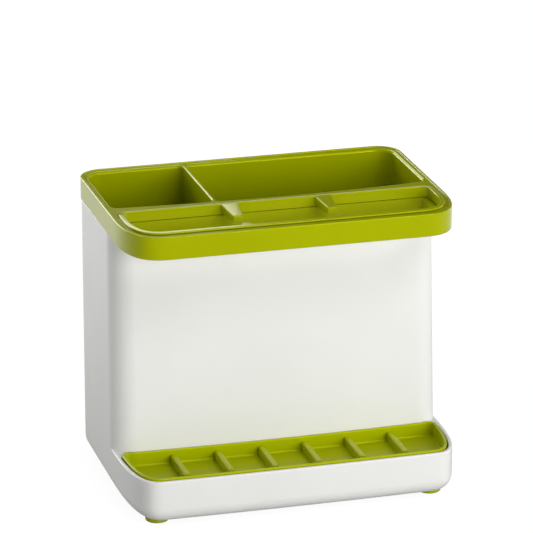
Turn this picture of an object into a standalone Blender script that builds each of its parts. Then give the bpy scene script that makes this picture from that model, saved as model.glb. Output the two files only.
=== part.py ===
"""Sink tidy: a white bin with a low front shelf, a green lift-off organiser with two
cups and a brush slot, a slot insert, a ribbed drip tray and four rubber feet.

Metres, +Z up. The origin is under the middle of the whole object, on the surface
that it stands on. X runs along the width and -Y is the front.
"""
import math

import bmesh
import bpy
from mathutils import Vector

# Overall plan and heights
OVERALL_DEPTH = 0.1374
RIM_WIDTH = 0.1900
RIM_FRONT_SETBACK = 0.0059
BODY_HEIGHT = 0.1515
SHELF_HEIGHT = 0.0255
BAND_HEIGHT = 0.0131
SEAT_GAP = 0.0003
FIT_GAP = 0.0003

# Rubber feet
FOOT_DIAMETER = 0.0132
FOOT_PROUD = 0.0025
FOOT_SEAT_DEPTH = 0.0012
FOOT_EDGE_ROUND = 0.0008
FOOT_SIDE_INSET = 0.0160
FOOT_FRONT_INSET = 0.0150
FOOT_BACK_INSET = 0.0162

# White body
BODY_BACK_SIDE_INSET = 0.0003
BODY_FRONT_SIDE_INSET = 0.0008
SHELF_SIDE_PROUD = 0.0003
BODY_FRONT_SETBACK = 0.0009
BODY_FRONT_LEAN = 0.0058
BODY_BACK_INSET = 0.0010
BODY_BOW = 0.0022
SHELF_BOW = 0.0011
BODY_FRONT_RADIUS = 0.0130
BODY_BACK_RADIUS = 0.0140
BODY_WALL = 0.0022
BODY_FLOOR = 0.0027
BASE_EDGE_RADIUS = 0.0092
SHELF_CORNER_REACH = 0.0190
SHELF_CORNER_POWER = 3.2
RIM_ROUND = 0.0006

# Ribs in the shelf recess that carry the drip tray
REST_WIDTH = 0.0060
REST_REACH = 0.0050
REST_COUNT = 3
REST_SPAN = 0.1240

# Webs that close the corners between the shelf's sides, the bin and the tray
WEB_DROP = 0.0002
WEB_THICKNESS = 0.0020

# Organiser: band, border and deck
RIM_CORNER_REACH_X = 0.0240
RIM_CORNER_REACH_Y = 0.0410
RIM_CORNER_POWER = 2.8
RIM_BACK_RADIUS = 0.0140
RIM_EDGE_ROUND = 0.0006
BORDER_SIDE_WIDTH = 0.0016
BORDER_FRONT_WIDTH = 0.0035
BORDER_CORNER_POWER = 3.0
DECK_DROP = 0.0006
DECK_THICKNESS = 0.0022
SKIRT_WALL = 0.0022

# Organiser: cups
CUP_BACK_GAP = 0.0005
CUP_FRONT_WEB = 0.0141
CUP_BOW = 0.0042
CUP_DEPTH = 0.0800
CUP_WALL = 0.0013
CUP_FLOOR = 0.0016
CUP_EDGE_ROUND = 0.0016
CUP_FRONT_RADIUS = 0.0040
CUP_BACK_RADIUS = 0.0095
CUP_DIVIDER_RADIUS = 0.0030
CUP_BOTTOM_ROUND = 0.0022
DIVIDER_WALL = 0.0020
DIVIDER_EDGE_ROUND = 0.0008
DIVIDER_OFFSET = 0.0316
DRAIN_DIAMETER = 0.0050
DRAIN_PITCH = 0.0200
DRAIN_MARGIN = 0.0150

# Organiser: well of the brush slot
WELL_WALL = 0.0013
WELL_END_LEDGE = 0.0036
WELL_SIDE_LEDGE = 0.0004

# Slot insert
SLOT_SIDE_BORDER = 0.0070
SLOT_DEPTH = 0.0378
SLOT_FRONT_BORDER = 0.0082
SLOT_CORNER_REACH_X = 0.0180
SLOT_CORNER_REACH_Y = 0.0260
SLOT_CORNER_POWER = 2.8
SLOT_BACK_RADIUS = 0.0035
LIP_WIDTH = 0.0026
LIP_THICKNESS = 0.0011
LIP_ROUND = 0.0005
INSERT_HEIGHT = 0.0060
INSERT_WALL = 0.0014
INSERT_MOUTH_ROUND = 0.0004
TAB_SPACING = 0.0540
TAB_LENGTH = 0.0182
TAB_ROOT_WIDTH = 0.0098
TAB_TIP_WIDTH = 0.0054
TAB_ROOT_HEIGHT = 0.0052
TAB_TIP_HEIGHT = 0.0042
TAB_ROOT_DROP = 0.0001
TAB_TIP_DROP = 0.0013
TAB_TIP_RADIUS = 0.0014
BUMP_WIDTH = 0.0066
BUMP_REACH = 0.0033
BUMP_HEIGHT = 0.0044
BUMP_TOP_DROP = 0.0002
BUMP_POWER = 3.0

# Drip tray
TRAY_GAP = 0.0008
TRAY_BACK_GAP = 0.0004
TRAY_PROUD = 0.0008
TRAY_DEPTH = 0.0083
TRAY_WALL = 0.0017
TRAY_FLOOR = 0.0016
TRAY_LIP_ROUND = 0.0006
TRAY_BOTTOM_ROUND = 0.0020
TRAY_FLOOR_ROUND = 0.0012
TRAY_BACK_RADIUS = 0.0050
RIB_COUNT = 6
RIB_PITCH = 0.0254
RIB_SHIFT = 0.0012
RIB_THICKNESS = 0.0038
RIB_TOP_DROP = 0.0028
RIB_LENGTH = 0.0308
RIB_EDGE_ROUND = 0.0010

# How finely round shapes are cut into facets
CORNER_STEPS = 9
SHELF_CORNER_STEPS = 12
SMALL_CORNER_STEPS = 5
FRONT_STEPS = 10
FILLET_STEPS = 5
EDGE_STEPS = 2
FOOT_SIDES = 28
DRAIN_SIDES = 12

# Places worked out from the sizes above
RIM_BACK_Y = OVERALL_DEPTH / 2
SHELF_FRONT_Y = SHELF_BOW - OVERALL_DEPTH / 2
RIM_FRONT_Y = SHELF_FRONT_Y + RIM_FRONT_SETBACK
BODY_BACK_Y = RIM_BACK_Y - BODY_BACK_INSET
BASE_Z = FOOT_PROUD
FLOOR_Z = BASE_Z + BODY_FLOOR
SHELF_Z = BASE_Z + SHELF_HEIGHT
BODY_TOP_Z = BASE_Z + BODY_HEIGHT
BAND_Z = BODY_TOP_Z + SEAT_GAP
RIM_Z = BAND_Z + BAND_HEIGHT
DECK_Z = RIM_Z - DECK_DROP
SLOT_HALF = RIM_WIDTH / 2 - SLOT_SIDE_BORDER
SLOT_FRONT_Y = RIM_FRONT_Y + SLOT_FRONT_BORDER
SLOT_BACK_Y = SLOT_FRONT_Y + SLOT_DEPTH
LIP_Z = DECK_Z + SEAT_GAP
INSERT_TOP_Z = LIP_Z + LIP_THICKNESS
INSERT_Z = INSERT_TOP_Z - INSERT_HEIGHT
BODY_BACK_HALF = RIM_WIDTH / 2 - BODY_BACK_SIDE_INSET
BODY_FRONT_HALF = RIM_WIDTH / 2 - BODY_FRONT_SIDE_INSET
SHELF_HALF = RIM_WIDTH / 2 + SHELF_SIDE_PROUD
BODY_TOP_FRONT_Y = SLOT_BACK_Y + BODY_FRONT_SETBACK
BODY_SHELF_FRONT_Y = BODY_TOP_FRONT_Y - BODY_FRONT_LEAN
CUP_HALF = BODY_FRONT_HALF - BODY_WALL - FIT_GAP - CUP_WALL
CUP_FRONT_Y = SLOT_BACK_Y + CUP_FRONT_WEB
CUP_BACK_Y = BODY_BACK_Y - BODY_WALL - CUP_BACK_GAP - CUP_WALL
CUP_FLOOR_Z = DECK_Z - CUP_DEPTH
TRAY_TOP_Z = SHELF_Z + TRAY_PROUD
TRAY_FLOOR_Z = TRAY_TOP_Z - TRAY_DEPTH
TRAY_BOTTOM_Z = TRAY_FLOOR_Z - TRAY_FLOOR
REST_Z = TRAY_BOTTOM_Z - SEAT_GAP


def spaced(start, end, steps):
    return [start + (end - start) * i / steps for i in range(steps + 1)]


def corner(x, y, side, end, reach, steps):
    """Quarter corner about (x, y), from its side end to its front or back end.

    side and end are -1 or 1. reach is (along x, along y, power of the curve).
    """
    reach_x, reach_y, power = reach
    points = []
    for angle in spaced(0, math.pi / 2, steps):
        cosine = max(math.cos(angle), 0.0) if angle < math.pi / 2 else 0.0
        across = reach_x * cosine ** (2 / power)
        along = reach_y * math.sin(angle) ** (2 / power)
        points.append((x + side * across, y + end * along))
    return points


def round_reach(radius, inward=0.0):
    return radius - inward, radius - inward, 2.0


def bowed(points, bow, half):
    """Points moved towards -Y, most in the middle of the width and not at its ends."""
    return [(x, y - bow * (1 - (x / half) ** 2)) for x, y in points]


def front_path(half, front, reach, steps, bow=0.0):
    """Front of a symmetrical outline, from its left side round to its right side."""
    centre_x = half - reach[0]
    left = corner(-centre_x, front + reach[1], -1, -1, reach, steps)
    right = [(-x, y) for x, y in reversed(left)]
    middle = [(x, front) for x in spaced(-centre_x, centre_x, FRONT_STEPS)[1:-1]]
    return bowed(left + middle + right, bow, half)


def back_path(half, back, radius):
    """Back of a symmetrical outline, from its right side round to its left side."""
    reach = round_reach(radius)
    right = corner(half - radius, back - radius, 1, 1, reach, SMALL_CORNER_STEPS)
    return right + [(-x, y) for x, y in reversed(right)]


def moved_in(points, distance):
    """Closed outline moved inwards, or outwards if negative, along its own normals."""
    moved = []
    count = len(points)
    for i in range(count):
        before = Vector(points[i - 1])
        here = Vector(points[i])
        after = Vector(points[(i + 1) % count])
        first = (here - before).normalized()
        second = (after - here).normalized()
        normal = Vector((-first.y - second.y, first.x + second.x)).normalized()
        stretch = 1 / max(normal.dot(Vector((-first.y, first.x))), 1 / math.sqrt(2))
        place = here + normal * distance * stretch
        moved.append((place.x, place.y))
    return moved


def fillet(radius, steps=FILLET_STEPS):
    """(inset, height) pairs of a quarter round, from its flat end up to its upright end."""
    angles = spaced(0, math.pi / 2, steps)
    return [(radius * (1 - math.sin(a)), radius * (1 - math.cos(a))) for a in angles]


def disc(x, y, radius, sides):
    angles = spaced(0, 2 * math.pi, sides)[:-1]
    return [(x + radius * math.cos(a), y + radius * math.sin(a)) for a in angles]


class Shell:
    """A closed surface put together from rings of points, strips and flat faces."""

    def __init__(self):
        self.mesh = bmesh.new()

    def ring(self, points, z):
        return [self.mesh.verts.new((x, y, z)) for x, y in points]

    def strip(self, lower, upper, closed=True):
        count = len(lower) if closed else len(lower) - 1
        for i in range(count):
            j = (i + 1) % len(lower)
            distinct = list(dict.fromkeys([lower[i], lower[j], upper[j], upper[i]]))
            if len(distinct) > 2:
                self.mesh.faces.new(distinct)

    def strips(self, rings, closed=True):
        for lower, upper in zip(rings, rings[1:]):
            self.strip(lower, upper, closed)

    def flat(self, *loops):
        """Flat face bounded by the first loop, with the other loops as its holes."""
        edges = []
        for loop in loops:
            for i, here in enumerate(loop):
                pair = (here, loop[(i + 1) % len(loop)])
                edges.append(self.mesh.edges.get(pair) or self.mesh.edges.new(pair))
        bmesh.ops.triangle_fill(self.mesh, use_beauty=True, edges=edges)

    def finish(self, name, material=None):
        bmesh.ops.recalc_face_normals(self.mesh, faces=self.mesh.faces)
        data = bpy.data.meshes.new(name)
        self.mesh.to_mesh(data)
        self.mesh.free()
        if material:
            data.materials.append(material)
        data.shade_smooth()
        data.set_sharp_from_angle(angle=math.radians(30))
        thing = bpy.data.objects.new(name, data)
        bpy.context.scene.collection.objects.link(thing)
        return thing


def combine(target, tool, operation):
    """Joins a hidden tool to the target, or cuts the target with it."""
    tool.hide_render = True
    tool.display_type = "WIRE"
    step = target.modifiers.new(tool.name, "BOOLEAN")
    step.operation = operation
    step.solver = "EXACT"
    step.object = tool


def plastic(name, colour, roughness, coat=0.0):
    material = bpy.data.materials.new(name)
    material.use_nodes = True
    shader = material.node_tree.nodes["Principled BSDF"]
    shader.inputs["Base Color"].default_value = (*colour, 1.0)
    shader.inputs["Roughness"].default_value = roughness
    shader.inputs["Metallic"].default_value = 0.0
    shader.inputs["Coat Weight"].default_value = coat
    return material


def white_plastic():
    return plastic("satin_white", (0.80, 0.80, 0.77), 0.38)


def gloss_green_plastic():
    return plastic("gloss_green", (0.39, 0.42, 0.003), 0.16, 0.4)


def satin_green_plastic():
    return plastic("satin_green", (0.42, 0.45, 0.004), 0.32)


def green_rubber():
    return plastic("green_rubber", (0.33, 0.37, 0.006), 0.62)


def bin_size(z):
    """Half width and front face of the bin at a height, the shelf's below its rim."""
    share = max(0.0, (z - SHELF_Z) / (BODY_TOP_Z - SHELF_Z))
    half = SHELF_HALF + (BODY_FRONT_HALF - SHELF_HALF) * share
    front = BODY_SHELF_FRONT_Y + (BODY_TOP_FRONT_Y - BODY_SHELF_FRONT_Y) * share
    return half, front


def bin_front(z, inward, angles):
    """Bowed front of the bin, whose left corner has a point at each angle."""
    half, front = bin_size(z)
    radius = BODY_FRONT_RADIUS - inward
    centre_x = half - BODY_FRONT_RADIUS
    centre_y = front + BODY_FRONT_RADIUS
    left = []
    for angle in angles:
        cosine = math.cos(angle) if angle < math.pi / 2 else 0.0
        left.append((-centre_x - radius * cosine, centre_y - radius * math.sin(angle)))
    right = [(-x, y) for x, y in reversed(left)]
    middle = [(x, front + inward) for x in spaced(-centre_x, centre_x, FRONT_STEPS)[1:-1]]
    return bowed(left + middle + right, BODY_BOW, half)


def bin_back(inward=0.0):
    return back_path(BODY_BACK_HALF - inward, BODY_BACK_Y - inward, BODY_BACK_RADIUS - inward)


def corner_angle(inward):
    """Where a wall that lies this far inside the shelf's side meets the bin's corner."""
    return math.acos(1 - inward / BODY_FRONT_RADIUS)


def shelf_path(inward=0.0):
    half, front = bin_size(SHELF_Z)
    front_y = SHELF_FRONT_Y + inward
    reach_y = front + BODY_FRONT_RADIUS - front_y
    reach = (SHELF_CORNER_REACH - inward, reach_y, SHELF_CORNER_POWER)
    return front_path(half - inward, front_y, reach, SHELF_CORNER_STEPS, SHELF_BOW)


def recess_loop(inward):
    """Plan of the recess: the shelf's inner wall, then the bin's front as its back."""
    angles = spaced(corner_angle(inward), math.pi / 2, CORNER_STEPS)
    behind = bin_front(SHELF_Z, 0.0, angles)
    ahead = shelf_path(inward)
    return [behind[0]] + ahead[1:-1] + [behind[-1]] + behind[-2:0:-1]


def rim_profile():
    """(inset, height) across the shelf's rim, from its outer side to the recess."""
    outer = [(edge, SHELF_Z - drop) for edge, drop in reversed(fillet(RIM_ROUND, EDGE_STEPS))]
    return outer + [(BODY_WALL - edge, z) for edge, z in reversed(outer)]


def build_body(material):
    """White moulding: the bin, the shelf and the recess for the tray, as one shell."""
    shell = Shell()
    profile = rim_profile()
    junction = profile[0][1]
    climb = [corner_angle(edge) for edge, z in profile]
    recess_angles = spaced(climb[-1], math.pi / 2, CORNER_STEPS)[1:]
    angles = climb + recess_angles

    foot_points = bin_front(SHELF_Z, 0.0, angles)
    foot = shell.ring(foot_points, junction)
    for step, (edge, z) in enumerate(profile):
        foot[step].co.z = z
        foot[-1 - step].co.z = z
    back = shell.ring(bin_back(), junction)

    shelf_top = build_shelf_outside(shell, foot, back)
    build_recess(shell, foot, profile, shelf_top)
    build_bin(shell, foot, back, angles)
    body = shell.finish("white_body", material)
    combine(body, build_tray_rests(), "UNION")
    combine(body, build_corner_webs(), "UNION")
    combine(body, build_foot_seats(), "DIFFERENCE")
    return body


def build_shelf_outside(shell, foot, back):
    rings = []
    for edge, height in fillet(BASE_EDGE_RADIUS):
        rings.append(shell.ring(shelf_path(edge) + bin_back(edge), BASE_Z + height))
    top = [foot[0]] + shell.ring(shelf_path()[1:-1], foot[0].co.z) + [foot[-1]] + back
    shell.strips(rings + [top])
    shell.flat(rings[0])
    return top[:len(top) - len(back)]


def build_recess(shell, foot, profile, shelf_top):
    rings = [shelf_top]
    for step, (edge, z) in enumerate(profile[1:], 1):
        middle = shell.ring(shelf_path(edge)[1:-1], z)
        rings.append([foot[step]] + middle + [foot[-1 - step]])
    shell.strips(rings, closed=False)
    last = len(profile) - 1
    loops = [rings[-1] + foot[-2 - last:last:-1]]
    radius = BASE_EDGE_RADIUS - BODY_WALL
    for edge, height in reversed(fillet(radius)):
        loops.append(shell.ring(recess_loop(BODY_WALL + edge), FLOOR_Z + height))
    shell.strips(loops)
    shell.flat(loops[-1])


def build_bin(shell, foot, back, angles):
    rings = [foot + back]
    upright = BODY_TOP_Z - RIM_ROUND
    for z in spaced(SHELF_Z, upright, 2)[1:]:
        rings.append(shell.ring(bin_front(z, 0.0, angles) + bin_back(), z))
    for edge in (RIM_ROUND, BODY_WALL - RIM_ROUND):
        plan = bin_front(BODY_TOP_Z, edge, angles) + bin_back(edge)
        rings.append(shell.ring(plan, BODY_TOP_Z))
    inside = [(BODY_WALL, upright), (BODY_WALL, SHELF_Z)]
    for edge, height in reversed(fillet(BASE_EDGE_RADIUS - BODY_WALL)):
        inside.append((BODY_WALL + edge, FLOOR_Z + height))
    for edge, z in inside:
        rings.append(shell.ring(bin_front(z, edge, angles) + bin_back(edge), z))
    shell.strips(rings)
    shell.flat(rings[-1])


def add_rest(shell, x, outline):
    """Upright rib of the recess, from its outline given as (y, z) points."""
    sides = []
    for side_x in (x - REST_WIDTH / 2, x + REST_WIDTH / 2):
        sides.append([shell.mesh.verts.new((side_x, y, z)) for y, z in outline])
    shell.strip(*sides)
    shell.flat(sides[0])
    shell.flat(sides[1])


def build_tray_rests():
    """Upright ribs along the front and back of the recess, under the tray."""
    shell = Shell()
    half, front = bin_size(SHELF_Z)
    root = BODY_WALL / 2
    depth = BODY_WALL + REST_REACH
    bend = BASE_EDGE_RADIUS - root
    low_z = FLOOR_Z - BODY_FLOOR / 2
    for x in spaced(-REST_SPAN / 2, REST_SPAN / 2, REST_COUNT - 1):
        share = 1 - (x / half) ** 2
        wall = SHELF_FRONT_Y - SHELF_BOW * share
        outline = [(wall + depth, REST_Z), (wall + root, REST_Z)]
        for angle in spaced(0, math.acos((BASE_EDGE_RADIUS - depth) / bend), FILLET_STEPS):
            y = wall + BASE_EDGE_RADIUS - bend * math.cos(angle)
            outline.append((y, BASE_Z + BASE_EDGE_RADIUS - bend * math.sin(angle)))
        add_rest(shell, x, outline)
        behind = front - BODY_BOW * share + root
        ahead = behind - root - REST_REACH
        corners = [(ahead, low_z), (behind, low_z), (behind, REST_Z), (ahead, REST_Z)]
        add_rest(shell, x, corners)
    return shell.finish("tray_rests")


def build_corner_webs():
    """Flat webs at the rim's height, round the back corners of the tray."""
    shell = Shell()
    half, front = bin_size(SHELF_Z)
    bin_x, bin_y, x, y, meet = tray_corner()
    inside = BODY_FRONT_RADIUS - BODY_WALL / 2
    outside = TRAY_BACK_RADIUS + TRAY_BACK_GAP
    right = [(x + outside, y), (half - BODY_WALL / 2, y)]
    for angle in spaced(0, meet, SMALL_CORNER_STEPS):
        right.append((bin_x + inside * math.cos(angle), bin_y - inside * math.sin(angle)))
    for angle in spaced(math.pi - meet, 0, SMALL_CORNER_STEPS)[:-1]:
        right.append((x + outside * math.cos(angle), y + outside * math.sin(angle)))
    right = bowed(right, BODY_BOW, half)
    top = SHELF_Z - WEB_DROP
    for plan in (right, [(-px, py) for px, py in reversed(right)]):
        lower = shell.ring(plan, top - WEB_THICKNESS)
        upper = shell.ring(plan, top)
        shell.strip(lower, upper)
        shell.flat(lower)
        shell.flat(upper)
    return shell.finish("corner_webs")


def foot_places():
    """Centres of the four feet: front left, front right, back left, back right."""
    x = SHELF_HALF - FOOT_SIDE_INSET
    ahead = SHELF_FRONT_Y + FOOT_FRONT_INSET
    behind = BODY_BACK_Y - FOOT_BACK_INSET
    return [(-x, ahead), (x, ahead), (-x, behind), (x, behind)]


def build_foot_seats():
    """Round places cut into the underside for the feet."""
    shell = Shell()
    for x, y in foot_places():
        plan = disc(x, y, FOOT_DIAMETER / 2 + FIT_GAP, FOOT_SIDES)
        lower = shell.ring(plan, 0)
        upper = shell.ring(plan, BASE_Z + FOOT_SEAT_DEPTH)
        shell.strip(lower, upper)
        shell.flat(lower)
        shell.flat(upper)
    return shell.finish("foot_seats")


def build_foot(name, place, material):
    """Rubber foot with a rounded bottom edge, seated in its place under the body."""
    shell = Shell()
    x, y = place
    radius = FOOT_DIAMETER / 2
    rings = []
    for edge, height in fillet(FOOT_EDGE_ROUND, EDGE_STEPS + 1):
        rings.append(shell.ring(disc(0, 0, radius - edge, FOOT_SIDES), height))
    top = BASE_Z + FOOT_SEAT_DEPTH - SEAT_GAP
    rings.append(shell.ring(disc(0, 0, radius, FOOT_SIDES), top))
    shell.strips(rings)
    shell.flat(rings[0])
    shell.flat(rings[-1])
    foot = shell.finish(name, material)
    foot.location = (x, y, 0)
    return foot


def rim_outline():
    reach = (RIM_CORNER_REACH_X, RIM_CORNER_REACH_Y, RIM_CORNER_POWER)
    front = front_path(RIM_WIDTH / 2, RIM_FRONT_Y, reach, CORNER_STEPS)
    return front + back_path(RIM_WIDTH / 2, RIM_BACK_Y, RIM_BACK_RADIUS)


def border_outline():
    """Inner edge of the raised border, wider at the front and square in the corners."""
    half = RIM_WIDTH / 2 - BORDER_SIDE_WIDTH
    reach_x = RIM_CORNER_REACH_X - BORDER_SIDE_WIDTH
    reach_y = RIM_CORNER_REACH_Y - BORDER_FRONT_WIDTH
    reach = (reach_x, reach_y, BORDER_CORNER_POWER)
    front = front_path(half, RIM_FRONT_Y + BORDER_FRONT_WIDTH, reach, CORNER_STEPS)
    back_radius = RIM_BACK_RADIUS - BORDER_SIDE_WIDTH
    return front + back_path(half, RIM_BACK_Y - BORDER_SIDE_WIDTH, back_radius)


def slot_outline():
    """Opening of the brush slot, at the inner face of the insert."""
    reach = (SLOT_CORNER_REACH_X, SLOT_CORNER_REACH_Y, SLOT_CORNER_POWER)
    front = front_path(SLOT_HALF, SLOT_FRONT_Y, reach, CORNER_STEPS)
    return front + back_path(SLOT_HALF, SLOT_BACK_Y, SLOT_BACK_RADIUS)


def well_outline():
    """Well of the slot below the insert, narrower than the opening at its two ends."""
    half = SLOT_HALF - WELL_END_LEDGE
    reach = (SLOT_CORNER_REACH_X, SLOT_CORNER_REACH_Y - WELL_SIDE_LEDGE, SLOT_CORNER_POWER)
    front = front_path(half, SLOT_FRONT_Y + WELL_SIDE_LEDGE, reach, CORNER_STEPS)
    return front + back_path(half, SLOT_BACK_Y - WELL_SIDE_LEDGE, SLOT_BACK_RADIUS)


def cup_outline(left, right):
    """Plan of a cup between two sides. A side at the divider has a tight corner."""
    corners = []
    for end, y in ((-1, CUP_FRONT_Y), (1, CUP_BACK_Y)):
        for x, facing in ((left, 1), (right, -1)):
            outer_radius = CUP_FRONT_RADIUS if end < 0 else CUP_BACK_RADIUS
            at_end = abs(abs(x) - CUP_HALF) < FIT_GAP
            radius = outer_radius if at_end else CUP_DIVIDER_RADIUS
            centre = (x + facing * radius, y - end * radius)
            reach = round_reach(radius)
            corners.append(corner(*centre, -facing, end, reach, SMALL_CORNER_STEPS))
    front_left, front_right, back_left, back_right = corners
    start = front_left[-1][0]
    steps = max(2, round(FRONT_STEPS * (right - left) / (2 * CUP_HALF)))
    middle = spaced(start, front_right[-1][0], steps)[1:-1]
    front_y = front_left[-1][1]
    front = front_left + [(x, front_y) for x in middle] + front_right[::-1]
    return bowed(front, CUP_BOW, CUP_HALF) + back_right + back_left[::-1]


def cup_sides():
    """Left and right side of each cup, and so the divider between them."""
    divider_left = -DIVIDER_OFFSET - DIVIDER_WALL
    return [(-CUP_HALF, divider_left), (-DIVIDER_OFFSET, CUP_HALF)]


def mouth_loop(left, right, edge):
    """Rounded mouth of a cup, this far outside its plan, and less on the divider's side."""
    towards_divider = 1 if abs(right) < abs(left) else -1
    plan = cup_outline(left, right)
    loop = []
    for here, out in zip(plan, moved_in(plan, -edge)):
        step = out[0] - here[0]
        if step * towards_divider > 0:
            step *= DIVIDER_EDGE_ROUND / CUP_EDGE_ROUND
        loop.append((here[0] + step, out[1]))
    return loop


def groove_loop():
    """Hollow under the front overhang, between its skirt and the wall of the well."""
    skirt = moved_in(rim_outline(), SKIRT_WALL)
    wall = moved_in(slot_outline(), -(INSERT_WALL + FIT_GAP + WELL_WALL))
    count = 2 * (CORNER_STEPS + 1) + FRONT_STEPS - 1
    return skirt[:count] + wall[count - 1::-1]


def build_organiser(material):
    """Green moulding: band, border, deck, two hanging cups and the well of the slot."""
    shell = Shell()
    band = band_rings(shell)
    slot = slot_rings(shell)
    shell.strips(band)
    shell.strips(slot)

    mouths = []
    floors = []
    for left, right in cup_sides():
        rings = cup_inside(shell, left, right)
        shell.strips(rings)
        mouths.append(rings[0])
        floors.append(rings[-1])
    shell.flat(band[-1], slot[0], *mouths)

    groove = shell.ring(groove_loop(), BAND_Z)
    roof = shell.ring(groove_loop(), DECK_Z - DECK_THICKNESS)
    shell.strip(groove, roof)
    shell.flat(roof)
    outside = cup_outside(shell)
    shell.strips(outside)
    shell.flat(band[0], slot[-1], groove, outside[0])
    close_cup_floors(shell, floors, outside[-1])
    return shell.finish("organiser_top", material)


def band_rings(shell):
    """Outside of the band, its rounded top edge and the step down to the deck."""
    rim = rim_outline()
    rings = [shell.ring(rim, BAND_Z)]
    for edge, drop in reversed(fillet(RIM_EDGE_ROUND, EDGE_STEPS + 1)):
        rings.append(shell.ring(moved_in(rim, edge), RIM_Z - drop))
    rings.append(shell.ring(border_outline(), RIM_Z))
    rings.append(shell.ring(border_outline(), DECK_Z))
    return rings


def slot_rings(shell):
    """Opening in the deck for the insert, the ledge below it and the well of the slot."""
    seat = moved_in(slot_outline(), -(INSERT_WALL + FIT_GAP))
    ledge = INSERT_Z - SEAT_GAP
    rings = [(seat, DECK_Z), (seat, ledge), (well_outline(), ledge), (well_outline(), BAND_Z)]
    return [shell.ring(plan, z) for plan, z in rings]


def cup_inside(shell, left, right):
    plan = cup_outline(left, right)
    rings = []
    for edge, drop in fillet(CUP_EDGE_ROUND, EDGE_STEPS + 1):
        rings.append(shell.ring(mouth_loop(left, right, edge), DECK_Z - drop))
    for edge, height in reversed(fillet(CUP_BOTTOM_ROUND, EDGE_STEPS + 1)):
        rings.append(shell.ring(moved_in(plan, edge), CUP_FLOOR_Z + height))
    return rings


def cup_outside(shell):
    """Outer wall round both cups, from the underside of the band to their floor."""
    plan = moved_in(cup_outline(-CUP_HALF, CUP_HALF), -CUP_WALL)
    bottom = CUP_FLOOR_Z - CUP_FLOOR
    rings = [shell.ring(plan, BAND_Z)]
    for edge, height in reversed(fillet(CUP_BOTTOM_ROUND + CUP_WALL, EDGE_STEPS + 1)):
        rings.append(shell.ring(moved_in(plan, edge), bottom + height))
    return rings


def drain_places(left, right):
    """Centres of the drain holes in a cup, in rows and columns about its middle."""
    columns = int((right - left - 2 * DRAIN_MARGIN) / DRAIN_PITCH)
    rows = int((CUP_BACK_Y - CUP_FRONT_Y - 2 * DRAIN_MARGIN) / DRAIN_PITCH)
    middle_x = (left + right) / 2
    middle_y = (CUP_FRONT_Y + CUP_BACK_Y) / 2
    places = []
    for i in range(columns + 1):
        for j in range(rows + 1):
            x = middle_x + (i - columns / 2) * DRAIN_PITCH
            y = middle_y + (j - rows / 2) * DRAIN_PITCH
            places.append((x, y))
    return places


def close_cup_floors(shell, floors, underside):
    """Floor of each cup and the underside below both, with the drain holes."""
    outlets = []
    for (left, right), floor in zip(cup_sides(), floors):
        inlets = []
        for x, y in drain_places(left, right):
            plan = disc(x, y, DRAIN_DIAMETER / 2, DRAIN_SIDES)
            inlet = shell.ring(plan, CUP_FLOOR_Z)
            outlet = shell.ring(plan, CUP_FLOOR_Z - CUP_FLOOR)
            shell.strip(inlet, outlet)
            inlets.append(inlet)
            outlets.append(outlet)
        shell.flat(floor, *inlets)
    shell.flat(underside, *outlets)


def build_insert(material):
    """Green ring that drops into the brush slot until its lip lies on the deck."""
    shell = Shell()
    mouth = reversed(fillet(INSERT_MOUTH_ROUND, EDGE_STEPS + 1))
    profile = [(0, INSERT_Z)] + [(edge, INSERT_TOP_Z - drop) for edge, drop in mouth]
    profile += [(LIP_WIDTH - edge, INSERT_TOP_Z - drop) for edge, drop in fillet(LIP_ROUND, EDGE_STEPS)]
    profile += [(LIP_WIDTH, LIP_Z), (INSERT_WALL, LIP_Z), (INSERT_WALL, INSERT_Z)]
    plan = slot_outline()
    rings = [shell.ring(moved_in(plan, -outward), z) for outward, z in profile]
    shell.strips(rings + [rings[0]])
    insert = shell.finish("slot_insert", material)
    combine(insert, build_tabs_and_bumps(), "UNION")
    return insert


def build_tabs_and_bumps():
    shell = Shell()
    for x in (-TAB_SPACING / 2, TAB_SPACING / 2):
        add_tab(shell, x)
        add_bump(shell, x)
    return shell.finish("tabs_and_bumps")


def add_tab(shell, x):
    """Tapered tab from the back wall, whose top slopes down a little to its tip."""
    root_y = SLOT_BACK_Y + INSERT_WALL / 2
    tip_y = SLOT_BACK_Y - TAB_LENGTH
    reach = round_reach(TAB_TIP_RADIUS)
    straight = TAB_TIP_WIDTH / 2 - TAB_TIP_RADIUS
    tip_left = corner(-straight, tip_y + TAB_TIP_RADIUS, -1, -1, reach, EDGE_STEPS + 1)
    tip = tip_left + [(-px, py) for px, py in reversed(tip_left)]
    root = [(TAB_ROOT_WIDTH / 2, root_y), (-TAB_ROOT_WIDTH / 2, root_y)]
    plan = [(x + px, py) for px, py in tip + root]
    upper = shell.ring(plan, INSERT_TOP_Z)
    lower = shell.ring(plan, INSERT_TOP_Z)
    for above, below in zip(upper, lower):
        share = (above.co.y - tip_y) / (root_y - tip_y)
        above.co.z -= TAB_TIP_DROP + (TAB_ROOT_DROP - TAB_TIP_DROP) * share
        height = TAB_TIP_HEIGHT + (TAB_ROOT_HEIGHT - TAB_TIP_HEIGHT) * share
        below.co.z = above.co.z - height
    shell.strip(lower, upper)
    shell.flat(upper)
    shell.flat(lower)


def add_bump(shell, x):
    """Small rounded bump on the inner face of the front wall."""
    y = SLOT_FRONT_Y - INSERT_WALL / 2
    reach = (BUMP_WIDTH / 2, BUMP_REACH + INSERT_WALL / 2, BUMP_POWER)
    left = corner(0, y, -1, 1, reach, SMALL_CORNER_STEPS)
    half_plan = [(-px, py) for px, py in left[:-1]]
    plan = [(x + px, py) for px, py in half_plan + left[::-1]]
    top = INSERT_TOP_Z - BUMP_TOP_DROP
    lower = shell.ring(plan, top - BUMP_HEIGHT)
    upper = shell.ring(plan, top)
    shell.strip(lower, upper)
    shell.flat(lower)
    shell.flat(upper)


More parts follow.
